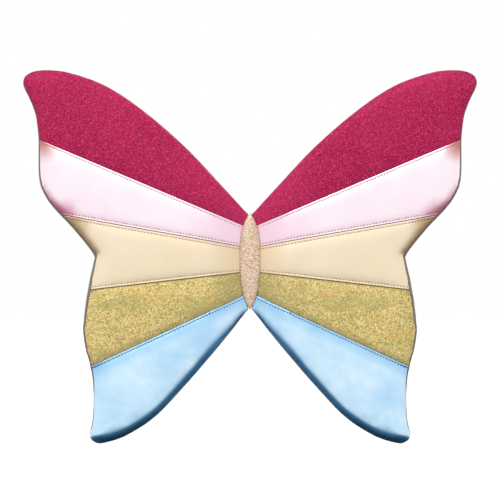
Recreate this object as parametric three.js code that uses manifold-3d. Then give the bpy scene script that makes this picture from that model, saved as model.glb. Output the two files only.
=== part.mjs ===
// Padded butterfly dress-up wings with two elastic arm loops.
//
// Millimetres, +Z up. The wings stand as they are worn: X runs across the span, the wearer's back is at +Y
// and the decorated side faces -Y. The origin is the middle of the body's flat back, where it lies
// between the wearer's shoulder blades. "Depth" below is the distance forward of that back plane.
//
// Each wing is a soft pad: a backing that rolls round the edge, a felt stiffener, a wadding core and five
// front panels that fan out from the body, topstitched beside their seams. Both wings fold about an upright
// line through the body, a slim stuffed spindle that hides their join. An elastic loop sewn to the back of
// each wing takes an arm.
import * as THREE from "three";
import { mergeVertices } from "three/addons/utils/BufferGeometryUtils.js";
import Module from "manifold-3d";

// Overall sizes
const SPAN = 480; // tip to tip
const UPPER_RISE = 202; // origin to the top of the upper lobes
const LOWER_DROP = 192; // origin to the bottom of the lower lobes

// Pad
const PAD_BACK = 8; // fold line to the back plane
const PAD_FRONT = 13; // fold line to the front of the pad
const EDGE_ROLL = 6; // radius of the pad's rolled edges
const BACKING_TURN = 2.5; // how far the backing stops short of the front of the pad
const FABRIC = 1.2; // one backed layer of fabric
const STIFFENER = 2; // felt sheet behind the wadding
const STIFFENER_MARGIN = 8; // felt sheet in from the wing's edge

// Fold
const FRONT_RAKE = 24; // degrees, slope of the front where the pad thins towards the fold line
const BACK_RAKE = 45; // degrees, the same for the back
const FOLD_GAP = 1.2; // how far behind the fold line the front slopes start

// Body
const BODY_LENGTH = 102;
const BODY_WIDTH = 21.5;
const BODY_WIDEST = 6; // height of its widest place above the origin
const BODY_SHOULDER = 2.8; // exponents of its outline: the first fills out the middle
const BODY_TIP = 0.8; // and the second narrows the ends
const BODY_DOME = 0.55; // swell of its front as a share of its half width
const BODY_FABRIC = 1;
const BODY_END = 3.5; // length of each end that stands beyond the wings

// Arm loops
const STRAP_X = 55; // middle of a loop from the fold line
const STRAP_WIDTH = 20;
const STRAP_THICK = 1.5;
const STRAP_REACH = 94; // how far a loop stands behind the back plane
const STRAP_RISE = 78; // a loop's top above and bottom below the origin
const TAB_INNER = 27; // height where the sewn end of the strap starts
const TAB_OUTER = 52; // height where the strap leaves the back
const STRAP_SWING = 50; // degrees that a loop can swing outwards
const SWING_CLEARANCE = 1.5; // between a swung loop's edge and the back

// Sewing
const SEAM_GAP = 0.3; // between pieces that touch
const STITCH_OFFSET = 2.7; // row of topstitching from its seam
const THREAD = 0.6;
const BODY_TO_THREAD = 1.5; // the rows end this far from the body
const BOX_STITCH_MARGIN = 3; // sewn box in from the edges of the strap's end

// Smoothness of the curves
const EDGE_STEPS = 2; // facets in an edge's roll, and between two places on an outline
const BODY_SIDES = 16;
const BODY_STEPS = 20;
const STRAP_STEPS = 48;

const FRONT = PAD_BACK + PAD_FRONT;
const REACH = SPAN + UPPER_RISE + LOWER_DROP; // beyond every piece, for cutting shapes
const PAST_FOLD = 20; // outlines run on this far past the fold line before they are trimmed

const radians = THREE.MathUtils.degToRad;
const point = (x, y) => new THREE.Vector2(x, y);

const wasm = await Module();
wasm.setup();

// ---- Solids -------------------------------------------------------------------------------------------

function solidOf(geometry) {
  const bare = geometry.clone();
  bare.deleteAttribute("normal");
  bare.deleteAttribute("uv");
  const merged = mergeVertices(bare, 1e-4);
  return new wasm.Manifold(
    new wasm.Mesh({
      numProp: 3,
      vertProperties: new Float32Array(merged.attributes.position.array),
      triVerts: new Uint32Array(merged.index.array),
    }),
  );
}

function geometryOf(solid) {
  const { vertProperties, triVerts } = solid.getMesh();
  const indexed = new THREE.BufferGeometry();
  indexed.setAttribute("position", new THREE.BufferAttribute(vertProperties, 3));
  indexed.setIndex(new THREE.BufferAttribute(triVerts, 1));
  const faceted = indexed.toNonIndexed();
  faceted.computeVertexNormals();
  return faceted;
}

// An outline seen from the front (X, Z), made solid between two depths.
function frontPrism(shape, depthFrom, depthTo) {
  const geometry = new THREE.ExtrudeGeometry(shape, { depth: depthTo - depthFrom, bevelEnabled: false });
  return solidOf(geometry.rotateX(Math.PI / 2).translate(0, -depthFrom, 0));
}

// An outline seen from above, as [x, depth] corners, made solid through the whole height.
function planPrism(corners) {
  const shape = new THREE.Shape(corners.map(([x, depth]) => point(x, -depth)));
  const geometry = new THREE.ExtrudeGeometry(shape, { depth: 2 * REACH, bevelEnabled: false });
  return solidOf(geometry.translate(0, 0, -REACH));
}

const inFrontOf = (depth) => planPrism([[-REACH, depth], [REACH, depth], [REACH, REACH], [-REACH, REACH]]);
const behind = (depth) => planPrism([[-REACH, -REACH], [REACH, -REACH], [REACH, depth], [-REACH, depth]]);

// ---- Wing outline -------------------------------------------------------------------------------------

// A place on a wing, as shares of its half span and of its rise or drop.
const onWing = ([u, v]) => point((u * SPAN) / 2, v * (v > 0 ? UPPER_RISE : LOWER_DROP));

const UPPER_EDGE = [[0.113, 0.381], [0.288, 0.601], [0.475, 0.792], [0.633, 0.916], [0.783, 0.982]];
const UPPER_TIP = [[0.883, 1], [0.95, 0.993], [0.988, 0.97], [1, 0.94], [0.993, 0.905]];
const OUTER_EDGE = [[0.971, 0.855], [0.942, 0.761], [0.931, 0.644], [0.93, 0.46], [0.915, 0.376]];
const NOTCH = [[0.869, 0.287], [0.771, 0.163], [0.681, 0.03]];
const HIND_EDGE = [[0.71, -0.13], [0.732, -0.323], [0.729, -0.448], [0.7, -0.589], [0.687, -0.729]];
const LOWER_TIP = [[0.691, -0.859], [0.704, -0.943], [0.7, -0.977], [0.683, -0.996], [0.655, -1]];
const LOWER_EDGE = [[0.617, -0.99], [0.542, -0.955], [0.42, -0.856], [0.292, -0.69]];
const LOWER_ROOT = [[0.154, -0.491], [0.068, -0.359]];

function wingOutline() {
  const rootTop = BODY_LENGTH / 2 - BODY_END;
  const shape = new THREE.Shape();
  shape.moveTo(-PAST_FOLD, rootTop);
  shape.lineTo(0, rootTop);
  shape.splineThru([...UPPER_EDGE, ...UPPER_TIP, ...OUTER_EDGE, ...NOTCH].map(onWing));
  const lowerLobe = [...HIND_EDGE, ...LOWER_TIP, ...LOWER_EDGE, ...LOWER_ROOT].map(onWing);
  shape.splineThru([...lowerLobe, point(0, -rootTop)]);
  shape.lineTo(-PAST_FOLD, -rootTop);
  return shape;
}

// The whole pad with its rolled edges, taken in by inset on every side.
function padBlock(inset) {
  const roll = EDGE_ROLL - inset;
  const geometry = new THREE.ExtrudeGeometry(wingOutline(), {
    depth: FRONT - 2 * EDGE_ROLL,
    bevelThickness: roll,
    bevelSize: roll,
    bevelOffset: -EDGE_ROLL,
    bevelSegments: EDGE_STEPS,
    curveSegments: EDGE_STEPS,
  });
  return solidOf(geometry.rotateX(Math.PI / 2).translate(0, -EDGE_ROLL, 0));
}

// Depths of the thinning front and back at a distance x from the fold line, taken in by inset.
function frontSlope(x, inset) {
  return PAD_BACK - FOLD_GAP - inset / Math.cos(radians(FRONT_RAKE)) + x * Math.tan(radians(FRONT_RAKE));
}

function backSlope(x, inset) {
  return PAD_BACK + inset / Math.cos(radians(BACK_RAKE)) - x * Math.tan(radians(BACK_RAKE));
}

function foldWedge(inset) {
  const thickness = (x) => frontSlope(x, inset) - backSlope(x, inset);
  const edge = -thickness(0) / (thickness(1) - thickness(0));
  return planPrism([
    [edge, backSlope(edge, inset)],
    [REACH, frontSlope(REACH, inset)],
    [REACH, backSlope(REACH, inset)],
  ]);
}

// ---- Body outline -------------------------------------------------------------------------------------

const NARROW_END = 3; // a margin is this many times as long at the body's narrow ends as at its sides

function bodyHalfWidth(z) {
  const reach = BODY_LENGTH / 2 - Math.sign(z - BODY_WIDEST) * BODY_WIDEST;
  const share = Math.min(1, Math.abs(z - BODY_WIDEST) / reach);
  return (BODY_WIDTH / 2) * (1 - share ** BODY_SHOULDER) ** BODY_TIP;
}

// Half widths up the body, as (half width, height) points from end to end, let out by margin.
function bodyProfile(margin) {
  const halfLength = BODY_LENGTH / 2 + NARROW_END * margin;
  const widening = 1 + (2 * margin) / BODY_WIDTH;
  return Array.from({ length: BODY_STEPS + 1 }, (_, step) => {
    const share = -Math.cos((Math.PI * step) / BODY_STEPS);
    const atEnd = step === 0 || step === BODY_STEPS;
    return point(atEnd ? 0 : widening * bodyHalfWidth((share * BODY_LENGTH) / 2), share * halfLength);
  });
}

function bodyPrism(margin) {
  const right = bodyProfile(margin);
  const left = right.slice(1, -1).map(({ x, y }) => point(-x, y));
  return frontPrism(new THREE.Shape([...right, ...left.reverse()]), -REACH, REACH);
}

// A spindle about the fold line, taken in by inset, with its depth scaled by swell.
function bodySpindle(inset, swell) {
  const geometry = new THREE.LatheGeometry(bodyProfile(-inset), BODY_SIDES).rotateX(Math.PI / 2);
  return solidOf(geometry.scale(1, swell, 1).translate(0, -PAD_BACK, 0));
}

// ---- Wing pieces --------------------------------------------------------------------------------------

// Each seam runs straight from a height on the fold line to a place on the wing's rim.
const SEAMS = {
  cerise_pink: { hub: 35, rim: [0.925, 0.637] },
  pink_gold: { hub: 14, rim: [0.825, 0.242] },
  gold_olive: { hub: -10.5, rim: [0.704, -0.156] },
  olive_blue: { hub: -33.2, rim: [0.692, -0.573] },
};
const PANELS = ["cerise", "pink", "gold", "olive", "blue"];

const STITCH_ROWS = {
  pink_upper_stitching: { seam: "cerise_pink", side: "below" },
  pink_lower_stitching: { seam: "pink_gold", side: "above" },
  gold_upper_stitching: { seam: "pink_gold", side: "below" },
  gold_lower_stitching: { seam: "gold_olive", side: "above" },
  blue_upper_stitching: { seam: "olive_blue", side: "below" },
};

// The two ends of a seam, moved up by offset: one just past the fold line and one far beyond the rim.
function seamLine(seam, offset) {
  const rim = onWing(seam.rim);
  const hub = point(0, seam.hub);
  const along = rim.clone().sub(hub).normalize();
  const lift = point(-along.y, along.x).multiplyScalar(offset);
  return [-PAST_FOLD, REACH].map((distance) => hub.clone().addScaledVector(along, distance).add(lift));
}

const levelLine = (height) => [point(-PAST_FOLD, height), point(REACH, height)];

function betweenLines(upper, lower) {
  return frontPrism(new THREE.Shape([...lower, ...upper.slice().reverse()]), -REACH, REACH);
}

function wingSolid(inset, bodyClearance) {
  return padBlock(inset).intersect(foldWedge(inset)).subtract(bodyPrism(bodyClearance));
}

// What lies in front of the join between the backing and the front panels, moved forward by shift.
function frontOfJoin(shift) {
  const slopeEnd = (FRONT - frontSlope(0, 0)) / Math.tan(radians(FRONT_RAKE));
  const join = (x) => Math.min(frontSlope(x, 0), FRONT) - BACKING_TURN + shift;
  const corners = [-PAST_FOLD, slopeEnd, REACH].map((x) => [x, join(x)]);
  return planPrism([...corners, [REACH, REACH], [-PAST_FOLD, REACH]]);
}

// The felt sheet as a block, let out by margin.
function stiffenerBlock(margin) {
  const geometry = new THREE.ExtrudeGeometry(wingOutline(), {
    depth: STIFFENER + 2 * margin,
    bevelThickness: 0,
    bevelSize: 0,
    bevelOffset: margin - STIFFENER_MARGIN,
    bevelSegments: 0,
    curveSegments: EDGE_STEPS,
  });
  return solidOf(geometry.rotateX(Math.PI / 2).translate(0, margin - FABRIC - SEAM_GAP, 0));
}

function wingPieces() {
  const skin = wingSolid(0, SEAM_GAP).subtract(wingSolid(FABRIC, SEAM_GAP + FABRIC));
  const filling = wingSolid(FABRIC + SEAM_GAP, FABRIC + 2 * SEAM_GAP);
  const front = skin.intersect(frontOfJoin(SEAM_GAP / 2));
  const pieces = {
    back_cover: skin.subtract(frontOfJoin(-SEAM_GAP / 2)),
    stiffener: filling.intersect(stiffenerBlock(0)),
    padding: filling.subtract(stiffenerBlock(SEAM_GAP)),
  };
  const above = [levelLine(REACH), ...Object.values(SEAMS).map((seam) => seamLine(seam, -SEAM_GAP / 2))];
  const below = [...Object.values(SEAMS).map((seam) => seamLine(seam, SEAM_GAP / 2)), levelLine(-REACH)];
  PANELS.forEach((panel, i) => {
    pieces[panel + "_panel"] = front.intersect(betweenLines(above[i], below[i]));
  });
  return pieces;
}

// Rows of topstitching, each a fine ridge of thread that stands just proud of its panel.
function stitchPieces() {
  const over = wingSolid(-SEAM_GAP - THREAD, BODY_TO_THREAD);
  const under = wingSolid(-SEAM_GAP, 0);
  const layer = over.subtract(under).intersect(frontOfJoin(0));
  const pieces = {};
  for (const [name, { seam, side }] of Object.entries(STITCH_ROWS)) {
    const middle = side === "above" ? STITCH_OFFSET : -STITCH_OFFSET;
    const edge = (shift) => seamLine(SEAMS[seam], middle + shift);
    pieces[name] = layer.intersect(betweenLines(edge(THREAD / 2), edge(-THREAD / 2)));
  }
  return pieces;
}

// ---- Arm loop -----------------------------------------------------------------------------------------

const TAB_DEPTH = -SEAM_GAP - STRAP_THICK / 2; // middle of the sewn ends
const TAB_MIDDLE = (TAB_INNER + TAB_OUTER) / 2;

// The strap nearer the back than this twists when the loop swings; the rest keeps its shape.
const EDGE_SWEEP = (STRAP_WIDTH / 2) * Math.sin(radians(STRAP_SWING));
const TWIST_DEPTH = TAB_DEPTH - (SWING_CLEARANCE + EDGE_SWEEP) / Math.cos(radians(STRAP_SWING));

// The strap from the side, as (distance behind the back plane, height): sewn end, loop, sewn end.
function strapPath() {
  const tab = [TAB_INNER, TAB_MIDDLE, TAB_OUTER].map((height) => point(-TAB_DEPTH, height));
  const top = [[0.03, 0.77], [0.1, 0.9], [0.32, 1], [0.64, 0.87], [0.89, 0.49]];
  const bottom = [[1, 0], [0.94, -0.48], [0.69, -0.86], [0.35, -1], [0.11, -0.9], [0.03, -0.77]];
  const loop = [...top, ...bottom].map(([reach, rise]) => point(reach * STRAP_REACH, rise * STRAP_RISE));
  const lowerTab = tab.map(({ x, y }) => point(x, -y));
  return new THREE.SplineCurve([...tab, ...loop, ...lowerTab.reverse()]);
}

// A side outline, as (distance behind the back plane, height), made solid across the strap's width.
function acrossStrap(outline) {
  const shape = new THREE.Shape(outline);
  const geometry = new THREE.ExtrudeGeometry(shape, { depth: STRAP_WIDTH, bevelEnabled: false });
  const toWing = new THREE.Matrix4().makeBasis(
    new THREE.Vector3(0, 1, 0),
    new THREE.Vector3(0, 0, 1),
    new THREE.Vector3(1, 0, 0),
  );
  return solidOf(geometry.applyMatrix4(toWing).translate(STRAP_X - STRAP_WIDTH / 2, 0, 0));
}

function strapRibbon() {
  const path = strapPath();
  const edge = (side) =>
    Array.from({ length: STRAP_STEPS + 1 }, (_, step) => {
      const along = path.getTangentAt(step / STRAP_STEPS);
      const outwards = point(-along.y, along.x).multiplyScalar((side * STRAP_THICK) / 2);
      return path.getPointAt(step / STRAP_STEPS).add(outwards);
    });
  return acrossStrap([...edge(1), ...edge(-1).reverse()]);
}

// A box with a cross in it, sewn through a strap end.
function boxStitch(sign) {
  const width = STRAP_WIDTH - 2 * BOX_STITCH_MARGIN;
  const height = TAB_OUTER - TAB_INNER - 2 * BOX_STITCH_MARGIN;
  const bar = (length, x, z, turn) =>
    solidOf(
      new THREE.BoxGeometry(length + THREAD, THREAD, THREAD)
        .rotateY(turn)
        .translate(STRAP_X + x, 2 * SEAM_GAP + STRAP_THICK + THREAD / 2, sign * TAB_MIDDLE + z),
    );
  const diagonal = Math.hypot(width, height) - THREAD;
  const slant = Math.atan2(height, width);
  return [
    bar(width, 0, height / 2, 0),
    bar(width, 0, -height / 2, 0),
    bar(height, width / 2, 0, Math.PI / 2),
    bar(height, -width / 2, 0, Math.PI / 2),
    bar(diagonal, 0, 0, slant),
    bar(diagonal, 0, 0, -slant),
  ].reduce((sum, next) => sum.add(next));
}

function strapPieces() {
  const ribbon = strapRibbon();
  const ends = ribbon.intersect(inFrontOf(TWIST_DEPTH + SEAM_GAP / 2));
  const upperHalf = betweenLines(levelLine(REACH), levelLine(0));
  return {
    strap_loop: ribbon.intersect(behind(TWIST_DEPTH - SEAM_GAP / 2)),
    strap_upper_end: ends.intersect(upperHalf),
    strap_lower_end: ends.subtract(upperHalf),
    strap_upper_stitching: boxStitch(1),
    strap_lower_stitching: boxStitch(-1),
  };
}

// ---- Body pieces --------------------------------------------------------------------------------------

// A round spindle behind the fold line, cut flat for the wearer's back, and a flatter swell in front.
function bodySolid(inset) {
  const back = bodySpindle(inset, 1).intersect(behind(PAD_BACK)).intersect(inFrontOf(inset));
  const front = bodySpindle(inset, BODY_DOME);
  return { back, front };
}

function bodyPieces() {
  const outside = bodySolid(0);
  const lining = bodySolid(BODY_FABRIC);
  const filling = bodySolid(BODY_FABRIC + SEAM_GAP);
  return {
    body_front_cover: outside.front.subtract(lining.front).intersect(inFrontOf(PAD_BACK + SEAM_GAP / 2)),
    body_back_cover: outside.back.subtract(lining.back).intersect(behind(PAD_BACK - SEAM_GAP / 2)),
    body_padding: filling.front.add(filling.back),
  };
}

// ---- The wings ----------------------------------------------------------------------------------------

function finish(color, roughness, metalness) {
  return new THREE.MeshStandardMaterial({ color, roughness, metalness });
}

const FINISHES = [
  [/cerise_panel/, finish(0xb92b5a, 0.75, 0.2)],
  [/pink_panel/, finish(0xf4cfe0, 0.3, 0.6)],
  [/gold_panel/, finish(0xf3e4c2, 0.4, 0.4)],
  [/olive_panel/, finish(0xcdb56f, 0.55, 0.4)],
  [/blue_panel/, finish(0x9fd0f2, 0.3, 0.6)],
  [/back_cover/, finish(0x8d8582, 0.8, 0)],
  [/stiffener/, finish(0xd8d6d0, 0.95, 0)],
  [/padding/, finish(0xf6f5f1, 1, 0)],
  [/stitching/, finish(0xcdb9a8, 0.7, 0)],
  [/strap/, finish(0xf2efec, 0.85, 0)],
  [/body_front_cover/, finish(0xd9bea4, 0.5, 0.5)],
];

function groupOf(geometries, prefix) {
  const group = new THREE.Group();
  for (const [piece, geometry] of Object.entries(geometries)) {
    const [, material] = FINISHES.find(([pattern]) => pattern.test(piece));
    const mesh = new THREE.Mesh(geometry, material);
    mesh.name = prefix + piece;
    group.add(mesh);
  }
  return group;
}

function geometriesOf(solids) {
  return Object.fromEntries(Object.entries(solids).map(([piece, solid]) => [piece, geometryOf(solid)]));
}

const wingGeometries = geometriesOf({ ...wingPieces(), ...stitchPieces(), ...strapPieces() });
const rightWing = groupOf(wingGeometries, "right_");
const leftWing = groupOf(wingGeometries, "left_");
leftWing.scale.x = -1; // the right wing's mirror image

const wings = new THREE.Group();
wings.add(groupOf(geometriesOf(bodyPieces()), ""), rightWing, leftWing);

export default wings;
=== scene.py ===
import math
import random

import bmesh
import bpy
from mathutils import Matrix, Vector, kdtree
from mathutils.bvhtree import BVHTree
from mathutils.geometry import interpolate_bezier


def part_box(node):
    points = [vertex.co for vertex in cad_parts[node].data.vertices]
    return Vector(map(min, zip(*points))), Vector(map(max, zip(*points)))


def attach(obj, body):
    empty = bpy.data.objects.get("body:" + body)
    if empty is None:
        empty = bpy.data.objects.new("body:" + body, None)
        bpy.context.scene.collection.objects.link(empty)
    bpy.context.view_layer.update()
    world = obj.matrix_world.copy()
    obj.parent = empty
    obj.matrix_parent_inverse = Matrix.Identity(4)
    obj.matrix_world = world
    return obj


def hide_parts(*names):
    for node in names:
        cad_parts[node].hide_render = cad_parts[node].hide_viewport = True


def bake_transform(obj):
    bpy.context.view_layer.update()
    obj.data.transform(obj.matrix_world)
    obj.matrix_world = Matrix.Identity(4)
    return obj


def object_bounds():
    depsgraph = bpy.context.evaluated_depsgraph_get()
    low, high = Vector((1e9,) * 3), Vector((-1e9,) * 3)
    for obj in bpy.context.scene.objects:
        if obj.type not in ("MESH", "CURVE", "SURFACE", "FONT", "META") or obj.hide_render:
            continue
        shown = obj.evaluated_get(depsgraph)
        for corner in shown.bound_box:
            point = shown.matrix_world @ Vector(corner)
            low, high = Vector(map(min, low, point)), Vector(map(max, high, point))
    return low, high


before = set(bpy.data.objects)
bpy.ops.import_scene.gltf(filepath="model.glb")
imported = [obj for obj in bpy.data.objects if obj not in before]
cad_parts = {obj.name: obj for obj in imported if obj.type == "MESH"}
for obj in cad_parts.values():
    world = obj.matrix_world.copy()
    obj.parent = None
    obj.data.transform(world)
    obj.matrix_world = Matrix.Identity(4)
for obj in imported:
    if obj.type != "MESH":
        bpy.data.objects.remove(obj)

cad_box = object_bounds()

# Padded butterfly dress-up wings with two elastic arm loops. Metres, +Z up. The decorated side faces -Y and
# the wearer's back is at +Y. Everything for a wing is made for the wearer's right side, where x is positive,
# and a mirrored copy of it goes on the left.
MM = 0.001

# ---- Wadding ------------------------------------------------------------------------------------------
# Each wing is filled with polyester wadding that is cut to the wing's outline. It is made first, at its
# full thickness, because every layer of fabric lies on it: pressure plumps it between the seams, and it
# thins towards the fold line between the wings.

HALF_SPAN = cad_box[1].x
RISE = cad_box[1].z
DROP = -cad_box[0].z
BODY_PAST_WINGS = 3.5 * MM  # the body is this much longer at each end than the fold line
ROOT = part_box("body_front_cover")[1].z - BODY_PAST_WINGS  # half the height of a wing at the fold line
PAD = -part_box("right_gold_panel")[0].y  # thickness of a wing
PAST_FOLD = 16 * MM  # the outline runs on this far before it is trimmed
PAD_ROLL = 14 * MM  # width of the roll at the rim
MESH_GROWTH = 1.005  # makes up for what smoothing takes off the rim
RIM_SHARE = 0.35  # thickness at the rim, as a share of the whole
PAD_MESH = 4 * MM

# Places along the wing's rim, as shares of the half span and of the height above or below the origin.
UPPER_LOBE = [
    (0.113, 0.381), (0.288, 0.601), (0.475, 0.792), (0.633, 0.916), (0.783, 0.982), (0.883, 1),
    (0.95, 0.993), (0.988, 0.97), (1, 0.94), (0.993, 0.905), (0.971, 0.855), (0.942, 0.761),
    (0.931, 0.644), (0.93, 0.46), (0.915, 0.376), (0.869, 0.287), (0.771, 0.163), (0.681, 0.03),
]
LOWER_LOBE = [
    (0.71, -0.13), (0.732, -0.323), (0.729, -0.448), (0.7, -0.589), (0.687, -0.729), (0.691, -0.859),
    (0.704, -0.943), (0.7, -0.977), (0.683, -0.996), (0.655, -1), (0.617, -0.99), (0.542, -0.955),
    (0.42, -0.856), (0.292, -0.69), (0.154, -0.491), (0.068, -0.359),
]
# Height of each seam on the fold line, and where it meets the wing's rim.
SEAMS = {
    "cerise_pink": (35 * MM, (0.925, 0.637)),
    "pink_gold": (14 * MM, (0.825, 0.242)),
    "gold_olive": (-10.5 * MM, (0.704, -0.156)),
    "olive_blue": (-33.2 * MM, (0.692, -0.573)),
}


def on_wing(across, up):
    """A place from its share of the half span and its share of the height."""
    return Vector((across * HALF_SPAN, 0, up * (RISE if up > 0 else DROP)))


def smooth_curve(points, steps):
    """A curve through the points, with this many places between each two."""
    ends = [points[0], *points, points[-1]]
    curve = [points[0]]
    for before, start, end, after in zip(ends, ends[1:], ends[2:], ends[3:]):
        handles = start + (end - before) / 6, end - (after - start) / 6
        curve += interpolate_bezier(start, *handles, end, steps + 1)[1:]
    return curve


OUTLINE_STEPS = 8


def wing_outline():
    """Two curves that meet at the notch, so that it stays sharp."""
    upper_lobe = [on_wing(*share) for share in UPPER_LOBE]
    lower_lobe = [on_wing(*share) for share in LOWER_LOBE]
    upper = smooth_curve([Vector((0, 0, ROOT)), *upper_lobe], OUTLINE_STEPS)
    lower = smooth_curve([upper[-1], *lower_lobe, Vector((0, 0, -ROOT))], OUTLINE_STEPS)
    return [*upper, *lower[1:]]


OUTLINE = wing_outline()
RIM_SPACING = 0.5 * MM  # between the places that distances to the rim are measured from


def rim_tree():
    """Places all along the rim, to search for the nearest."""
    places = []
    for start, end in zip(OUTLINE, OUTLINE[1:]):
        count = math.ceil((end - start).length / RIM_SPACING)
        places += [start.lerp(end, number / count) for number in range(count)]
    tree = kdtree.KDTree(len(places))
    for index, place in enumerate(places):
        tree.insert(place, index)
    tree.balance()
    return tree


rim_places = rim_tree()


def rim_distance(place):
    return rim_places.find(Vector((place.x, 0, place.z)))[2]


def seam_plane(seam, offset=0):
    """A place on the seam, and the direction across it, away from the seams below."""
    hub, rim = SEAMS[seam]
    start = Vector((0, 0, hub))
    along = (on_wing(*rim) - start).normalized()
    up = Vector((-along.z, 0, along.x))
    return start + up * offset, up


def above_seam(seam, place):
    start, up = seam_plane(seam)
    return (place - start).dot(up)


def seam_distance(place):
    return min(abs(above_seam(seam, place)) for seam in SEAMS)


def finished(piece):
    """Applies the piece's modifiers."""
    evaluated = piece.evaluated_get(bpy.context.evaluated_depsgraph_get())
    mesh = bpy.data.meshes.new_from_object(evaluated)
    piece.modifiers.clear()
    piece.data = mesh
    return piece


def object_of(bm, name):
    """An object made of the mesh being built, which is used up."""
    mesh = bpy.data.meshes.new(name)
    bm.to_mesh(mesh)
    bm.free()
    piece = bpy.data.objects.new(name, mesh)
    bpy.context.scene.collection.objects.link(piece)
    return piece


def flat_pad():
    """The wadding before it is plumped, with its rim rolled over."""
    bm = bmesh.new()
    corners = [Vector((-PAST_FOLD, 0, ROOT)), *OUTLINE, Vector((-PAST_FOLD, 0, -ROOT))]
    back = bm.faces.new([bm.verts.new(corner) for corner in corners])
    grown = bmesh.ops.extrude_face_region(bm, geom=[back], use_keep_orig=True)
    front = [part for part in grown["geom"] if isinstance(part, bmesh.types.BMVert)]
    bmesh.ops.translate(bm, verts=front, vec=(0, -PAD, 0))
    bmesh.ops.recalc_face_normals(bm, faces=bm.faces)
    pad = object_of(bm, "pad")
    remesh = pad.modifiers.new("even", "REMESH")
    remesh.mode = "VOXEL"
    remesh.voxel_size = PAD_MESH
    finished(pad)
    for vertex in pad.data.vertices:
        vertex.co.x *= MESH_GROWTH
        vertex.co.z *= MESH_GROWTH
        share = min(1, rim_distance(vertex.co) / PAD_ROLL)
        roll = RIM_SHARE + (1 - RIM_SHARE) * math.sqrt(1 - (1 - share) ** 2)
        vertex.co.y = -PAD / 2 + (vertex.co.y + PAD / 2) * roll
    return pad


PLUMP_PRESSURE = 4
PLUMP_FRAMES = 20
PLUMP_CAP = 3.5 * MM
HELD_RIM = 6 * MM  # the pad is held this far in from its rim
HELD_SEAM = 2.3 * MM  # and this far to each side of a seam


def plump(pad):
    """Blows the pad up between its rim and its seams, which stay where they are sewn."""
    held = pad.vertex_groups.new(name="held")
    for vertex in pad.data.vertices:
        at_back = vertex.co.y > -PAD / 2
        if at_back or rim_distance(vertex.co) < HELD_RIM or seam_distance(vertex.co) < HELD_SEAM:
            held.add([vertex.index], 1, "REPLACE")
    flat = [vertex.co.copy() for vertex in pad.data.vertices]
    cloth = pad.modifiers.new("plump", "CLOTH").settings
    cloth.vertex_group_mass = "held"
    cloth.use_pressure = True
    cloth.uniform_pressure_force = PLUMP_PRESSURE
    cloth.effector_weights.gravity = 0
    cloth.quality = 4
    for step in range(1, PLUMP_FRAMES + 1):
        bpy.context.scene.frame_set(step)
    finished(pad)
    bpy.context.scene.frame_set(1)
    for vertex, start in zip(pad.data.vertices, flat):
        moved = vertex.co - start
        if moved.length > PLUMP_CAP:
            vertex.co = start + moved * (PLUMP_CAP / moved.length)


pad = flat_pad()
plump(pad)
pad.modifiers.new("soft", "SUBSURF").levels = 1
pad.modifiers["soft"].render_levels = 1
finished(pad)

SEAM_SINK = 0.8 * MM
SEAM_SINK_WIDTH = 7 * MM

for vertex in pad.data.vertices:
    if vertex.co.y < -PAD / 2:
        depth = min(1, (-vertex.co.y - PAD / 2) / (PAD / 2))
        vertex.co.y += depth * SEAM_SINK * math.exp(-((seam_distance(vertex.co) / SEAM_SINK_WIDTH) ** 2))

THIN_FRONT = 45 * MM  # the front thins from here to the fold line
THIN_BACK = 10 * MM  # and the back from here
FOLD_FRONT = 8.4 * MM  # depths of the front and the back at the fold line
FOLD_BACK = 7.2 * MM


def smooth_step(share):
    share = max(0, min(1, share))
    return share * share * (3 - 2 * share)


def thin_to_fold(bm):
    """Squeezes the wing's thickness towards the fold line."""
    for vertex in bm.verts:
        front = FOLD_FRONT + (PAD - FOLD_FRONT) * smooth_step(vertex.co.x / THIN_FRONT)
        back = FOLD_BACK * (1 - smooth_step(vertex.co.x / THIN_BACK))
        vertex.co.y = -(back + (-vertex.co.y / PAD) * (front - back))
    bm.normal_update()


def cut(bm, place, normal, clear=True):
    """Cuts through everything, and drops what the normal points at if clear is true."""
    parts = [*bm.verts, *bm.edges, *bm.faces]
    bmesh.ops.bisect_plane(bm, geom=parts, dist=1e-6, plane_co=place, plane_no=normal, clear_outer=clear)


def pad_copy():
    bm = bmesh.new()
    bm.from_mesh(pad.data)
    return bm


FOLD_TRIM = 2 * MM  # everything in a wing starts this far from the middle


def trim_at_fold(bm):
    cut(bm, Vector((FOLD_TRIM, 0, 0)), Vector((-1, 0, 0)))


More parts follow.
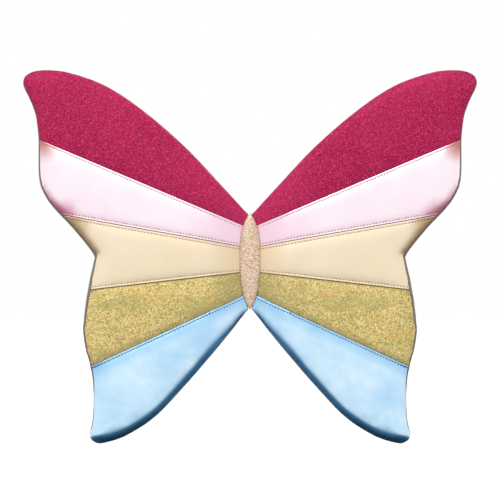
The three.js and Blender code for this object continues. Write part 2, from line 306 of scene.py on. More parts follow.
# A pattern is a socket of a material's nodes, so that materials are written as sums.
class Pattern:
    def __init__(self, tree, socket=None):
        self.tree = tree
        self.socket = socket

    def node(self, kind, settings, inputs, output=0):
        made = self.tree.nodes.new(kind)
        for name, value in settings.items():
            if name != "stops":
                setattr(made, name, value)
                continue
            for index, (place, color) in enumerate(value):
                elements = made.color_ramp.elements
                element = elements[index] if index < 2 else elements.new(place)
                element.position = place
                element.color = (*color, 1)
        for name, value in inputs.items():
            if isinstance(value, Pattern):
                self.tree.links.new(value.socket, made.inputs[name])
            else:
                made.inputs[name].default_value = value
        return Pattern(self.tree, made.outputs[output])

    def maths(self, operation, first, second=0.5):
        return self.node("ShaderNodeMath", {"operation": operation}, {0: first, 1: second})

    def absolute(self):
        return self.maths("ABSOLUTE", self)

    def __add__(self, other):
        return self.maths("ADD", self, other)

    def __sub__(self, other):
        return self.maths("SUBTRACT", self, other)

    def __rsub__(self, other):
        return self.maths("SUBTRACT", other, self)

    def __mul__(self, other):
        return self.maths("MULTIPLY", self, other)

    __radd__ = __add__
    __rmul__ = __mul__

    def mixed(self, first, second):
        """The first colour where this pattern is 0, and the second where it is 1."""
        colors = [color if isinstance(color, Pattern) else (*color, 1) for color in (first, second)]
        inputs = {0: self, 6: colors[0], 7: colors[1]}
        return self.node("ShaderNodeMix", {"data_type": "RGBA"}, inputs, 2)

    def between(self, low, high, start=0, end=1):
        """This pattern from low to high as a smooth change from start to end."""
        settings = {"interpolation_type": "SMOOTHSTEP"}
        inputs = {"Value": self, "From Min": low, "From Max": high, "To Min": start, "To Max": end}
        return self.node("ShaderNodeMapRange", settings, inputs)

    def ramp(self, *stops):
        return self.node("ShaderNodeValToRGB", {"stops": stops}, {"Fac": self})

    def noise(self, scale, detail=2, roughness=0.5):
        inputs = {"Vector": self, "Scale": scale, "Detail": detail, "Roughness": roughness}
        return self.node("ShaderNodeTexNoise", {}, inputs)

    def stretched(self, scale):
        return self.node("ShaderNodeMapping", {}, {"Vector": self, "Scale": scale})

    def cells(self, size):
        """A random shade of grey for each fleck of about this size."""
        colored = self.node("ShaderNodeTexVoronoi", {}, {"Vector": self, "Scale": 1 / size}, "Color")
        return colored.node("ShaderNodeSeparateColor", {}, {0: colored})

    def axis(self, name):
        return self.node("ShaderNodeSeparateXYZ", {}, {0: self}, name)

    def bump(self, height):
        inputs = {"Height": self, "Distance": height, "Strength": 1.0}
        return self.node("ShaderNodeBump", {}, inputs)


def rgb(red, green, blue):
    """A colour from its display values, as the shader's linear ones."""
    shares = [value / 255 for value in (red, green, blue)]
    return tuple(s / 12.92 if s <= 0.04045 else ((s + 0.055) / 1.055) ** 2.4 for s in shares)


def new_material(name, **sockets):
    """A material whose patterns are made by the functions given, from a place on the object."""
    material = bpy.data.materials.new(name)
    material.use_nodes = True
    tree = material.node_tree
    shader = tree.nodes["Principled BSDF"]
    place = Pattern(tree).node("ShaderNodeTexCoord", {}, {}, "Object")
    for socket, value in sockets.items():
        label = socket.replace("_", " ")
        if callable(value):
            tree.links.new(value(place).socket, shader.inputs[label])
        else:
            shader.inputs[label].default_value = (*value, 1) if isinstance(value, tuple) else value
    return material


def inset(bm, distance):
    """Moves the surface inwards."""
    bm.normal_update()
    for vertex, normal in [(vertex, vertex.normal.copy()) for vertex in bm.verts]:
        vertex.co -= normal * distance


def dressed(bm, name, material, nodes):
    """A smooth piece of this material that stands for these nodes."""
    piece = object_of(bm, name)
    piece.data.materials.append(material)
    for face in piece.data.polygons:
        face.use_smooth = True
    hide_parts(*nodes)
    return piece


def both_sides(bm, part, material, nodes):
    """The wing's piece and its mirror image, by side."""
    made = {}
    for side, sign in (("right", 1), ("left", -1)):
        copy = bm.copy()
        if sign < 0:
            bmesh.ops.scale(copy, vec=(-1, 1, 1), verts=copy.verts)
            bmesh.ops.reverse_faces(copy, faces=copy.faces)
        made[side] = dressed(copy, f"{side}_{part}", material, [f"{side}_{node}" for node in nodes])
    bm.free()
    return made


BEND_START = 9 * MM  # the felt is cut into strips across the bend from here
BEND_END = 34 * MM  # to here


def bend_with_fold(pair):
    """Bakes each piece's placement into its mesh."""
    for side, piece in pair.items():
        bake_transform(piece)


WADDING_INSET = 1.3 * MM

wadding_material = new_material(
    "polyester_wadding",
    Base_Color=lambda place: place.noise(300, 6).ramp((0.3, rgb(226, 224, 217)), (0.7, rgb(250, 249, 246))),
    Roughness=1.0,
    Normal=lambda place: place.noise(900, 8, 0.7).bump(0.6 * MM),
)
bm = pad_copy()
trim_at_fold(bm)
bmesh.ops.holes_fill(bm, edges=[edge for edge in bm.edges if edge.is_boundary], sides=0)
thin_to_fold(bm)
inset(bm, WADDING_INSET)
wadding = both_sides(bm, "wadding_fill", wadding_material, ["padding"])
bend_with_fold(wadding)

# ---- Felt stiffener -----------------------------------------------------------------------------------
# A sheet of pressed felt behind the wadding keeps each wing spread. It is laid in loose between the wadding
# and the backing.

LONGEST_EDGE = 20 * MM
FELT_STRIPS = 16  # narrow strips across the bend

felt_material = new_material(
    "pressed_felt",
    Base_Color=lambda place: place.noise(1200, 4).ramp((0.3, rgb(204, 201, 194)), (0.7, rgb(228, 226, 220))),
    Roughness=0.95,
    Normal=lambda place: place.noise(1500, 6, 0.7).bump(0.2 * MM),
)
bm = bmesh.new()
bm.from_mesh(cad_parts["right_stiffener"].data)
bmesh.ops.remove_doubles(bm, verts=bm.verts, dist=1e-6)
long_edges = [edge for edge in bm.edges if edge.calc_length() > LONGEST_EDGE]
bmesh.ops.subdivide_edges(bm, edges=long_edges, cuts=4)
for step in range(FELT_STRIPS + 1):
    across = BEND_START + (BEND_END - BEND_START) * step / FELT_STRIPS
    cut(bm, Vector((across, 0, 0)), Vector((1, 0, 0)), clear=False)
bmesh.ops.triangulate(bm, faces=bm.faces)
felt_area = sum(face.calc_area() for face in bm.faces) / 2
felt = both_sides(bm, "felt_sheet", felt_material, ["stiffener"])
bend_with_fold(felt)

# ---- Backing ------------------------------------------------------------------------------------------
# Grey plain-weave polyester covers the back and turns round the rim, so that it edges the front as a narrow
# border, widest on the outer sides. It is seamed to the front panels there, along two slopes that meet where
# gold meets olive.

BORDER_DEPTH = 13.8 * MM  # depth of the join at the fold line, where its two slopes meet
BORDER_GAIN = 4.4 * MM  # how much further forward it is at the wing's tip
BORDER_FALL = 3.6 * MM  # how much further back it runs towards the top and the bottom of the wing
CLOTH = 0.8 * MM  # thickness

JOIN_PLACE = Vector((0, -BORDER_DEPTH, on_wing(*SEAMS["gold_olive"][1]).z))
ABOVE_JOIN = Vector((-BORDER_GAIN / HALF_SPAN, -1, BORDER_FALL / RISE)).normalized()
BELOW_JOIN = Vector((-BORDER_GAIN / HALF_SPAN, -1, -BORDER_FALL / RISE)).normalized()


def before_join(place, normal):
    """How far a place is in front of the join between the backing and the upper or lower panels."""
    return (place - JOIN_PLACE).dot(normal)


def behind_joins(place):
    """How far a place is behind both slopes of the join."""
    return -max(before_join(place, ABOVE_JOIN), before_join(place, BELOW_JOIN))


def follow_profile(bm, profile, distance_of):
    """Raises the cloth by the profile's heights at its distances from an edge."""
    bm.normal_update()
    for vertex, normal in [(vertex, vertex.normal.copy()) for vertex in bm.verts]:
        distance = distance_of(vertex.co)
        for (near, low), (far, high) in zip(profile, profile[1:]):
            if near * MM - 1e-6 <= distance < far * MM:
                share = (distance - near * MM) / ((far - near) * MM)
                vertex.co += normal * (low + (high - low) * share) * MM
                break


# A profile holds distances from an edge and how far the cloth is raised there, both in millimetres.
BACKING_EDGE = [(0, -0.7), (0.5, 0.1), (1.2, 0.15), (2.5, 0)]
PANEL_EDGE = [(0, -0.9), (0.5, -0.1), (1.2, 0.1), (2.5, 0)]


def thickened(bm, thickness):
    """Gives a surface this thickness, inwards."""
    sheet = object_of(bm, "sheet")
    solid = sheet.modifiers.new("cloth", "SOLIDIFY")
    solid.thickness = thickness
    solid.offset = -1
    finished(sheet)
    thick = bmesh.new()
    thick.from_mesh(sheet.data)
    bpy.data.objects.remove(sheet)
    return thick


def weave(place, size, depth):
    """Bump of a plain weave with threads of this size."""
    inputs = {"Vector": place.stretched((1 / size, 1 / size, 1 / size)), "Scale": 0.5}
    threads = place.node("ShaderNodeTexWave", {"bands_direction": "X"}, inputs)
    picks = place.node("ShaderNodeTexWave", {"bands_direction": "Z"}, inputs)
    return (threads + picks + place.noise(2500, 3) * 0.8).bump(depth)


backing_material = new_material(
    "grey_backing",
    Base_Color=lambda place: place.noise(1400, 4, 0.7).ramp(
        (0.3, rgb(112, 100, 93)), (0.7, rgb(152, 139, 128))
    ),
    Roughness=0.8,
    Sheen_Weight=0.15,
    Normal=lambda place: weave(place, 0.6 * MM, 0.12 * MM),
)
bm = pad_copy()
trim_at_fold(bm)
for normal in (ABOVE_JOIN, BELOW_JOIN):
    cut(bm, JOIN_PLACE, normal)
    for distance, _ in BACKING_EDGE[1:]:
        cut(bm, JOIN_PLACE - normal * distance * MM, normal, clear=False)
follow_profile(bm, BACKING_EDGE, behind_joins)
thin_to_fold(bm)
bm = thickened(bm, CLOTH)
backing = both_sides(bm, "backing_cloth", backing_material, ["back_cover"])
bend_with_fold(backing)

# ---- Front panels -------------------------------------------------------------------------------------
# Five panels fan out from the body: cerise glitter cloth, pink foil cloth, pale gold satin, olive lurex and
# blue foil cloth. Pink laps over cerise, gold and blue lap over olive, and the pink and gold seam is pressed
# open, each with rows of topstitching beside the fold.

STITCH_ROW = 2.7  # mm from the seam
LAPPED = [(0, -0.7), (0.2, 0.05), (0.6, 0.25), (1.4, 0.25), (2.1, 0.05), (2.7, -0.15), (3.4, -0.05), (4.8, 0)]
PRESSED = [(0, -0.7), (0.2, -0.1), (0.7, 0.12), (1.4, 0.15), (2.1, 0), (2.7, -0.15), (3.4, -0.03), (4.8, 0)]
UNDER = [(0, -0.8), (0.8, -0.5), (2, -0.2), (4.8, 0)]
PANELS = {
    "cerise": (None, ("cerise_pink", UNDER), ABOVE_JOIN),
    "pink": (("cerise_pink", LAPPED), ("pink_gold", PRESSED), ABOVE_JOIN),
    "gold": (("pink_gold", PRESSED), ("gold_olive", LAPPED), ABOVE_JOIN),
    "olive": (("gold_olive", UNDER), ("olive_blue", UNDER), BELOW_JOIN),
    "blue": (("olive_blue", LAPPED), None, BELOW_JOIN),
}


def panel_sheet(above, below, join):
    """The part of the pad's front between two seams, in front of the join with the backing."""
    bm = pad_copy()
    trim_at_fold(bm)
    cut(bm, JOIN_PLACE, -join)
    for distance, _ in PANEL_EDGE[1:]:
        cut(bm, JOIN_PLACE + join * distance * MM, join, clear=False)
    for sewn, sign in ((above, 1), (below, -1)):
        if not sewn:
            continue
        seam, profile = sewn
        place, up = seam_plane(seam)
        cut(bm, place, up * sign)
        for distance, _ in profile[1:]:
            cut(bm, place - up * sign * distance * MM, up, clear=False)
        follow_profile(bm, profile, lambda co: -sign * above_seam(seam, co))
    follow_profile(bm, PANEL_EDGE, lambda co: before_join(co, join))
    return bm


def painted_shading_near_body(place, reach, amount):
    """Painted shading: a soft change from the amount at the body to 0 at reach from it, where the cloth rolls
    down to the body.
    """
    return place.axis("X").absolute().between(0, reach, amount, 0)


def underside_shade_mask(place, full=-0.42):
    """Painted shade: from 0 on cloth that faces forward to 1 on cloth that rolls under."""
    normal = place.node("ShaderNodeTexCoord", {}, {}, "Normal")
    return normal.axis("Z").between(-0.05, full)


def seam_shade_mask(place, seam, near, far):
    """Painted shade beside a seam: from 1 next to the seam to 0 at the far distance from it, on both wings.
    """
    start, up = seam_plane(seam)
    height = place.axis("X").absolute() * up.x + place.axis("Z") * up.z - start.dot(up)
    return height.absolute().between(near, far, 1, 0)


def shaded_spot(place, spot, reach, amount=1):
    """A soft spot of painted shade round the same place on both wings, with an uneven edge."""
    inputs = {0: place.axis("X").absolute(), 1: 0.0, 2: place.axis("Z")}
    mirrored = place.node("ShaderNodeCombineXYZ", {}, inputs)
    distance = place.node("ShaderNodeVectorMath", {"operation": "DISTANCE"}, {0: mirrored, 1: spot}, "Value")
    return (distance + place.noise(70, 2) * 0.3 * reach).between(0.2 * reach, reach, amount, 0)


def puckers(place):
    """Fine gathers that fade in and out over foil cloth."""
    return place.noise(34, 2, 0.4) * 2.5 + place.noise(150, 2, 0.5) * 0.3


GLITTER_FLECK = 0.6 * MM
LUREX_FLECK = 0.7 * MM
LUREX_THREAD = 1.1 * MM


def cerise_color(place):
    flecks = place.cells(GLITTER_FLECK).ramp(
        (0, rgb(112, 2, 40)), (0.35, rgb(160, 8, 64)), (0.75, rgb(184, 14, 80)), (1, rgb(238, 84, 140))
    )
    patches = place.noise(14, 3).between(0.3, 0.75)
    # Painted light: the cerise turns lighter towards the body, where the cloth rolls down to it.
    return (patches * 0.15 + painted_shading_near_body(place, 80 * MM, 0.3)).mixed(flecks, rgb(206, 56, 108))


def pink_color(place):
    clouds = place.noise(22, 3, 0.6)
    foil = clouds.ramp((0.3, rgb(253, 232, 242)), (0.7, rgb(255, 242, 249)))
    # Painted shade: deeper pink towards the body, where the foil rolls down to it.
    inner = painted_shading_near_body(place, 85 * MM, 0.7).mixed(foil, rgb(241, 194, 217))
    # Painted shade: brownish at the top outer corner and reddish at the bottom outer corner, where the foil
    # curves away.
    top = shaded_spot(place, on_wing(*SEAMS["cerise_pink"][1]), 34 * MM, 1).mixed(inner, rgb(200, 122, 116))
    corner = shaded_spot(place, on_wing(*SEAMS["pink_gold"][1]), 26 * MM, 0.8).mixed(top, rgb(206, 124, 154))
    # Painted shade: darker pink where the foil rolls under.
    return underside_shade_mask(place).mixed(corner, rgb(204, 130, 152))


def gold_color(place):
    satin = place.noise(18, 2).ramp((0.3, rgb(229, 211, 179)), (0.7, rgb(232, 217, 189)))
    # Painted shade: browner towards the body, where the satin rolls down to it.
    inner = painted_shading_near_body(place, 45 * MM, 0.75).mixed(satin, rgb(222, 190, 150))
    # Painted shade: brown at the upper outer corner.
    corner = shaded_spot(place, on_wing(0.79, 0.19), 30 * MM, 0.8).mixed(inner, rgb(172, 138, 92))
    # Painted shade: darker where the satin rolls under.
    return underside_shade_mask(place).mixed(corner, rgb(160, 130, 96))


def olive_color(place):
    flecks = place.cells(LUREX_FLECK).ramp(
        (0, rgb(134, 134, 70)), (0.25, rgb(190, 171, 90)), (0.5, rgb(219, 197, 128)),
        (0.75, rgb(226, 190, 108)), (1, rgb(250, 232, 176)),
    )
    green = place.stretched((1, 1, 3)).noise(24, 4, 0.7).between(0.48, 0.62, 0, 0.45)
    orange = place.stretched((1, 1, 3)).noise(30, 4, 0.7).between(0.54, 0.68, 0, 0.35)
    threads = place.cells(LUREX_THREAD)
    bright = (threads.between(0.7, 0.8) * 0.65).mixed(flecks, rgb(248, 222, 158))
    mixed = (threads.between(0.2, 0.14) * 0.55).mixed(bright, rgb(112, 112, 62))
    tinted = orange.mixed(green.mixed(mixed, rgb(160, 160, 92)), rgb(224, 168, 84))
    # Painted shade: darker along the blue seam, where the olive rolls down under the blue.
    blue_seam_shade = (seam_shade_mask(place, "olive_blue", 1 * MM, 9 * MM) * 0.45).mixed(tinted, rgb(150, 138, 92))
    # Painted shadow: a dark line under the gold's lapped edge.
    gold_edge_shadow = (seam_shade_mask(place, "gold_olive", 0, 3 * MM) * 0.6).mixed(blue_seam_shade, rgb(140, 128, 78))
    # Painted shade: darker towards the body, where the cloth rolls down to it.
    return painted_shading_near_body(place, 60 * MM, 0.45).mixed(gold_edge_shadow, rgb(150, 146, 98))


def blue_color(place):
    clouds = place.noise(26, 3, 0.6)
    foil = clouds.ramp((0.3, rgb(176, 217, 246)), (0.7, rgb(214, 240, 255)))
    # Painted shade: a darker blue band beside the olive seam.
    shaded = (seam_shade_mask(place, "olive_blue", 3 * MM, 16 * MM) * 0.55).mixed(foil, rgb(128, 188, 232))
    # Painted shade: deep blue where the foil rolls under.
    return underside_shade_mask(place, -0.28).mixed(shaded, rgb(66, 120, 162))


def flecked(place, size, height):
    """The bump of glitter, each fleck at its own height."""
    return place.cells(size).bump(height)


FINISHES = {
    "cerise": new_material(
        "cerise_glitter_cloth", Base_Color=cerise_color, Metallic=0.15, Specular_IOR_Level=0.2,
        Roughness=lambda place: place.cells(GLITTER_FLECK).between(0, 1, 0.35, 0.75),
        Normal=lambda place: flecked(place, GLITTER_FLECK, 0.25 * MM),
    ),
    "pink": new_material(
        "pink_foil_cloth", Base_Color=pink_color, Metallic=0.8, Roughness=0.26,
        Normal=lambda place: puckers(place).bump(0.3 * MM),
    ),
    "gold": new_material(
        "gold_satin_cloth", Base_Color=gold_color, Metallic=0.25, Roughness=0.4,
        Normal=lambda place: (place.noise(30, 2) * 2.5 + place.noise(2600, 2) * 0.3).bump(0.35 * MM),
    ),
    "olive": new_material(
        "olive_lurex_cloth", Base_Color=olive_color, Metallic=0.35,
        Roughness=lambda place: place.cells(LUREX_FLECK).between(0, 1, 0.3, 0.7),
        Normal=lambda place: flecked(place, LUREX_FLECK, 0.3 * MM),
    ),
    "blue": new_material(
        "blue_foil_cloth", Base_Color=blue_color, Metallic=0.8, Roughness=0.26,
        Normal=lambda place: puckers(place).bump(0.3 * MM),
    ),
}

panel_faces = {}
for color, (above, below, join) in PANELS.items():
    bm = panel_sheet(above, below, join)
    bmesh.ops.triangulate(bm, faces=bm.faces)
    thin_to_fold(bm)
    panel_faces[color] = BVHTree.FromBMesh(bm)
    bm = thickened(bm, CLOTH)
    panels = both_sides(bm, f"{color}_cloth", FINISHES[color], [f"{color}_panel"])
    bend_with_fold(panels)
bpy.data.objects.remove(pad)

# ---- Topstitching -------------------------------------------------------------------------------------
# Rows of straight lockstitch, 2.7 mm from the seams, hold the seam allowances flat. Each stitch is a short
# length of thread that dips into the cloth at both ends.

PITCH = 3.4 * MM
STITCH = 2.1 * MM
THREAD = 0.8 * MM
STITCH_LIFT = 0.25 * THREAD  # of its middle line above the cloth
PITCH_ERROR = 0.15 * MM
ROW_START = 4 * MM
ROW_TO_RIM = 3.5 * MM
ROW_TO_FOLD = 2.5 * MM
IN_FRONT = 0.1  # a start for rays that is clear of the wing

# The panel each row is on, its seam, the side of the seam it is on, its slot and its colour.
ROWS = {
    "pink_upper": ("pink", "cerise_pink", -1, "pale_thread", rgb(172, 108, 132)),
    "pink_lower": ("pink", "pink_gold", 1, "dark_thread", rgb(126, 80, 96)),
    "gold_upper": ("gold", "pink_gold", -1, "gold_thread", rgb(140, 102, 62)),
    "gold_lower": ("gold", "gold_olive", 1, "gold_thread", rgb(140, 102, 62)),
    "blue_upper": ("blue", "olive_blue", -1, "navy_thread", rgb(20, 52, 92)),
}


def add_stitch(bm, middle, along, outwards, length):
    """A stitch as a spindle of thread that is partly sunk in the cloth."""
    side = along.cross(outwards)
    turn = Matrix((along, side, outwards)).transposed().to_4x4()
    poles_along = Matrix.Rotation(math.pi / 2, 4, "Y")
    stretch = Matrix.Diagonal((length, THREAD, THREAD, 1))
    placed = Matrix.Translation(middle) @ turn @ stretch @ poles_along
    made = bmesh.ops.create_uvsphere(bm, u_segments=8, v_segments=5, radius=0.5, matrix=placed)
    for vertex in made["verts"]:
        vertex.co += outwards * STITCH_LIFT


def thread_material(name, color):
    dark = tuple(value * 0.7 for value in color)
    return new_material(
        name,
        Base_Color=lambda place: place.noise(1800, 2).ramp((0.35, dark), (0.65, color)),
        Roughness=0.55,
        Normal=lambda place: place.noise(4000, 2).bump(0.1 * MM),
    )


THREADS = {slot: thread_material(slot, color) for _, _, _, slot, color in ROWS.values()}

random.seed(4)
for row, (color, seam, side, slot, _) in ROWS.items():
    start, up = seam_plane(seam, side * STITCH_ROW * MM)
    along = Vector((up.z, 0, -up.x))
    bm = bmesh.new()
    distance = ROW_START
    while distance < HALF_SPAN:
        place = start + along * (distance + random.uniform(-PITCH_ERROR, PITCH_ERROR))
        distance += PITCH
        ray_start = place + Vector((0, -IN_FRONT, 0))
        found, normal, _, _ = panel_faces[color].ray_cast(ray_start, Vector((0, 1, 0)))
        if found is None or rim_distance(place) < ROW_TO_RIM or place.x < ROW_TO_FOLD:
            continue
        outwards = normal if normal.y < 0 else -normal
        line = (along - outwards * along.dot(outwards)).normalized()
        add_stitch(bm, found, line, outwards, STITCH)
    rows = both_sides(bm, f"{row}_stitches", THREADS[slot], [f"{row}_stitching"])
    bend_with_fold(rows)

# ---- Body ---------------------------------------------------------------------------------------------
# A slim stuffed spindle of coarse champagne glitter cloth over the join of the wings. Its back is the grey
# backing, flat for the wearer's back.

BODY_LOW, BODY_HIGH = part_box("body_front_cover")
BODY_HALF = (BODY_HIGH.z - BODY_LOW.z) / 2
BODY_WIDTH = BODY_HIGH.x - BODY_LOW.x
BODY_WIDEST = 6 * MM  # height of its widest place above its middle
BODY_EDGE = 10.2 * MM  # depth of the seam round it
BODY_SWELL = 5 * MM
BODY_BACK_SLOPE = 1.6
BODY_TAPER = (2.8, 0.8)  # powers that shape its outline towards the ends
BODY_ROUNDING = (0.7, 0.85)  # powers that shape its front
BODY_RINGS = 56
BODY_SIDES = 48
BODY_FILLING_INSET = 1.2 * MM
BODY_FLECK = 0.9 * MM


def body_half_width(z):
    """Half the body's width at a height, tapering to nothing at both ends."""
    reach = BODY_HALF - math.copysign(BODY_WIDEST, z - BODY_WIDEST)
    share = min(1, abs(z - BODY_WIDEST) / reach)
    fullness, bluntness = BODY_TAPER
    return BODY_WIDTH / 2 * (1 - share**fullness) ** bluntness


def body_form(inset_by=0):
    """The closed spindle, turned about its length and then set to its front swell and flat back."""
    bm = bmesh.new()
    heights = [-BODY_HALF * math.cos(math.pi * ring / BODY_RINGS) for ring in range(BODY_RINGS + 1)]
    places = [bm.verts.new((body_half_width(height), 0, height)) for height in heights]
    edges = [bm.edges.new(pair) for pair in zip(places, places[1:])]
    bmesh.ops.spin(
        bm, geom=[*places, *edges], cent=(0, 0, 0), axis=(0, 0, 1), angle=2 * math.pi,
        steps=BODY_SIDES, use_merge=True,
    )
    bmesh.ops.remove_doubles(bm, verts=bm.verts, dist=1e-5)
    bmesh.ops.recalc_face_normals(bm, faces=bm.faces)
    lengthwise, crosswise = BODY_ROUNDING
    for vertex in bm.verts:
        half = max(body_half_width(vertex.co.z), 1e-6)
        round_share = vertex.co.y / half
        if round_share < 0:
            width_share = half / (BODY_WIDTH / 2)
            swell = BODY_SWELL * width_share**lengthwise * abs(round_share) ** crosswise
            vertex.co.y = -BODY_EDGE - swell
        else:
            vertex.co.y = min(0, -BODY_EDGE + round_share * half * BODY_BACK_SLOPE)
    inset(bm, inset_by)
    return bm


def champagne(place):
    """Coarse flecks from brown to almost white."""
    return place.cells(BODY_FLECK).ramp(
        (0, rgb(170, 138, 110)), (0.2, rgb(208, 176, 147)), (0.55, rgb(228, 200, 172)),
        (0.8, rgb(230, 204, 181)), (0.97, rgb(250, 240, 226)),
    )


body_material = new_material(
    "champagne_glitter_cloth",
    Base_Color=champagne,
    Metallic=0.45,
    Roughness=lambda place: place.cells(BODY_FLECK).between(0, 1, 0.25, 0.65),
    Normal=lambda place: flecked(place, BODY_FLECK, 0.35 * MM),
)

BODY_EDGE_TUCK = [(0, -0.5), (0.5, 0.1), (1.2, 0)]


def on_spine(bm, name, material, node):
    """A piece that stays with the body."""
    piece = dressed(bm, name, material, [node])
    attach(piece, "spine")
    return piece


SEAM_FORWARD = Vector((0, -1, 0))
for part, sign, material, slot in (
    ("front", 1, body_material, "body_glitter_fabric"), ("back", -1, backing_material, "backing_fabric")
):
    bm = body_form()
    place = Vector((0, -BODY_EDGE, 0))
    cut(bm, place, SEAM_FORWARD * -sign)
    for distance, _ in BODY_EDGE_TUCK[1:]:
        cut(bm, place + SEAM_FORWARD * sign * distance * MM, SEAM_FORWARD, clear=False)
    follow_profile(bm, BODY_EDGE_TUCK, lambda co: sign * (-co.y - BODY_EDGE))
    bm = thickened(bm, CLOTH)
    on_spine(bm, f"body_{part}_cloth", material, f"body_{part}_cover")

filling_form = body_form(BODY_FILLING_INSET)
body_filling = on_spine(filling_form, "body_filling", wadding_material, "body_padding")

# ---- Arm loops ----------------------------------------------------------------------------------------
# A ribbed elastic strap on the back of each wing makes a loop for an arm. Both ends lie flat on the backing,
# sewn down with a box and a cross.

STRAP_LOW, STRAP_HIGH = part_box("right_strap_loop")
STRAP_X = (STRAP_LOW.x + STRAP_HIGH.x) / 2
STRAP_WIDTH = STRAP_HIGH.x - STRAP_LOW.x
STRAP_THICK = 1.5 * MM
TAB_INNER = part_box("right_strap_upper_end")[0].z
TAB_OUTER = 52 * MM  # where the strap lifts off the wing
TAB_Y = 1.05 * MM  # depth of the middle of its thickness
STRAP_REACH = 94 * MM
STRAP_RISE = 78 * MM
STRAP_STEPS = 14
STRAP_CUTS = 9

# Places along the loop, as shares of its reach and of its rise above or below the middle.
LOOP = [
    (0.03, 0.77), (0.1, 0.9), (0.32, 1), (0.64, 0.87), (0.89, 0.49), (1, 0), (0.94, -0.48),
    (0.69, -0.86), (0.35, -1), (0.11, -0.9), (0.03, -0.77),
]


def strap_path():
    """From the inner end of the upper tab, round the loop, to the inner end of the lower tab."""
    tab = [Vector((STRAP_X, TAB_Y, z)) for z in (TAB_INNER, (TAB_INNER + TAB_OUTER) / 2, TAB_OUTER)]
    loop = [Vector((STRAP_X, reach * STRAP_REACH, rise * STRAP_RISE)) for reach, rise in LOOP]
    lower = [Vector((place.x, place.y, -place.z)) for place in reversed(tab)]
    return smooth_curve([*tab, *loop, *lower], STRAP_STEPS)


def elastic_height(place):
    """Lengthwise cords of rubber with the weft between them."""
    settings = {"bands_direction": "X", "wave_profile": "SIN"}
    cords = place.node("ShaderNodeTexWave", settings, {"Vector": place, "Scale": 300})
    return cords + place.noise(1500, 3) * 0.4


strap_material = new_material(
    "ribbed_elastic",
    Base_Color=lambda place: place.noise(1100, 3).ramp((0.3, rgb(224, 218, 210)), (0.7, rgb(246, 242, 237))),
    Roughness=0.8,
    Sheen_Weight=0.2,
    Normal=lambda place: elastic_height(place).bump(0.3 * MM),
)


def strap_ribbon():
    """One flat ribbon along the path, thickened and with soft edges."""
    path = strap_path()
    bm = bmesh.new()
    half_width = Vector((STRAP_WIDTH / 2, 0, 0))
    ends = [bm.verts.new(path[0] - half_width), bm.verts.new(path[0] + half_width)]
    edges = [bm.edges.new(ends)]
    for before, place in zip(path, path[1:]):
        grown = bmesh.ops.extrude_edge_only(bm, edges=edges)
        verts = [part for part in grown["geom"] if isinstance(part, bmesh.types.BMVert)]
        edges = [part for part in grown["geom"] if isinstance(part, bmesh.types.BMEdge)]
        bmesh.ops.translate(bm, verts=verts, vec=place - before)
    crossways = [edge for edge in bm.edges if abs(edge.verts[0].co.x - edge.verts[1].co.x) > STRAP_WIDTH / 2]
    bmesh.ops.subdivide_edges(bm, edges=crossways, cuts=STRAP_CUTS)
    bmesh.ops.recalc_face_normals(bm, faces=bm.faces)
    ribbon = object_of(bm, "ribbon")
    solid = ribbon.modifiers.new("thick", "SOLIDIFY")
    solid.thickness = STRAP_THICK
    solid.offset = 0
    bevel = ribbon.modifiers.new("soft", "BEVEL")
    bevel.width = 0.5 * MM
    bevel.segments = 2
    finished(ribbon)
    bm = bmesh.new()
    bm.from_mesh(ribbon.data)
    bpy.data.objects.remove(ribbon)
    return bm


straps = both_sides(
    strap_ribbon(), "arm_strap", strap_material,
    ["strap_upper_end", "strap_lower_end", "strap_loop"],
)
for side, piece in straps.items():
    x = STRAP_X if side == "right" else -STRAP_X
    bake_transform(piece)

BOX_MARGIN = 3 * MM
BOX_PITCH = 2.7 * MM
BOX_STITCH = 0.85  # length of a stitch, as a share of the pitch
BACKWARDS = Vector((0, 1, 0))

box_thread = thread_material("strap_thread", rgb(202, 192, 180))


def stitch_line(bm, start, end):
    """A row of whole stitches from start to end."""
    length = (end - start).length
    count = round(length / BOX_PITCH)
    along = (end - start) / length
    for number in range(count):
        place = start + along * length * (number + 0.5) / count
        add_stitch(bm, place, along, BACKWARDS, length / count * BOX_STITCH)


for part, sign in (("upper", 1), ("lower", -1)):
    bm = bmesh.new()
    near, far = (TAB_INNER + BOX_MARGIN) * sign, (TAB_OUTER - BOX_MARGIN) * sign
    left, right = STRAP_X - STRAP_WIDTH / 2 + BOX_MARGIN, STRAP_X + STRAP_WIDTH / 2 - BOX_MARGIN
    y = TAB_Y + STRAP_THICK / 2
    corners = [Vector((x, y, z)) for x, z in ((left, near), (right, near), (right, far), (left, far))]
    for start, end in zip(corners, corners[1:] + corners[:1]):
        stitch_line(bm, start, end)
    stitch_line(bm, corners[0], corners[2])
    stitch_line(bm, corners[1], corners[3])
    node = f"strap_{part}_stitching"
    boxes = both_sides(bm, f"strap_{part}_box", box_thread, [node])
    for side, piece in boxes.items():
        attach(piece, f"{side}_wing")

# ---- Studio -------------------------------------------------------------------------------------------
# A white floor that only the camera sees, a soft box high in front, a weaker one behind, and a sky that is
# dark below, so that foil has a shade to mirror.

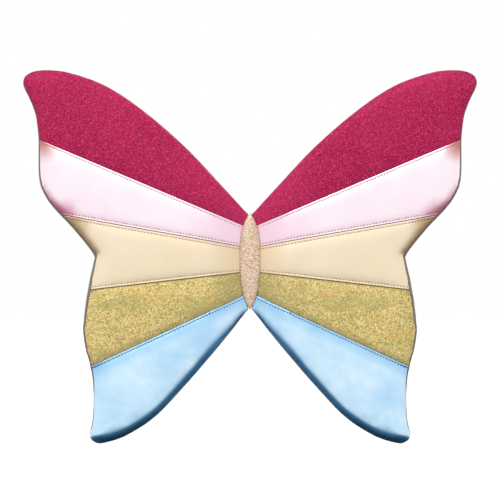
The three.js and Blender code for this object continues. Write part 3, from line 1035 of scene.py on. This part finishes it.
CAMERA_DISTANCE = 3.0
VIEW_WIDTH = 0.53  # of what the camera sees at the front of the wings
VIEW_HEIGHT = 12.2 * MM
WINGS_FRONT = 16 * MM
SENSOR = 36
FLOOR_RADIUS = 16
FLOOR_HEIGHT = -0.45

camera = bpy.data.objects.new("camera", bpy.data.cameras.new("camera"))
bpy.context.scene.collection.objects.link(camera)
camera.location = (0, -CAMERA_DISTANCE, VIEW_HEIGHT)
camera.rotation_euler = (math.pi / 2, 0, 0)
camera.data.sensor_width = SENSOR
camera.data.lens = SENSOR * (CAMERA_DISTANCE - WINGS_FRONT) / VIEW_WIDTH
bpy.context.scene.camera = camera

bm = bmesh.new()
bmesh.ops.create_circle(bm, cap_ends=True, radius=FLOOR_RADIUS, segments=64)
bmesh.ops.translate(bm, verts=bm.verts, vec=(0, 0, FLOOR_HEIGHT))
floor = object_of(bm, "floor")
floor.visible_glossy = False
floor.visible_diffuse = False
floor.data.materials.append(
    new_material("white_floor", Base_Color=(0, 0, 0), Emission_Color=(1, 1, 1), Emission_Strength=1.0)
)


def soft_box(name, place, size, power):
    """A square light that faces the middle of the object."""
    light = bpy.data.lights.new(name, "AREA")
    light.size = size
    light.energy = power
    box = bpy.data.objects.new(name, light)
    bpy.context.scene.collection.objects.link(box)
    box.location = place
    box.rotation_euler = (-Vector(place)).to_track_quat("-Z", "Y").to_euler()


soft_box("key", (-0.6, -2.4, 2.2), 1.8, 46)
soft_box("back_fill", (0.8, 2.4, 1.6), 1.8, 26)

world = bpy.data.worlds.new("studio")
bpy.context.scene.world = world
world.use_nodes = True
sky_tree = world.node_tree
direction = Pattern(sky_tree).node("ShaderNodeTexCoord", {}, {}, "Generated")
light_path = Pattern(sky_tree).node("ShaderNodeLightPath", {}, {}, "Is Camera Ray")
glow = direction.axis("Z").between(-0.95, -0.3, 0.05, 1.0)
sky = light_path.mixed(glow.ramp((0, (0, 0, 0)), (1, (1, 1, 1))), (1, 1, 1))
sky_tree.links.new(sky.socket, sky_tree.nodes["Background"].inputs["Color"])

bpy.context.scene.view_settings.view_transform = "Standard"
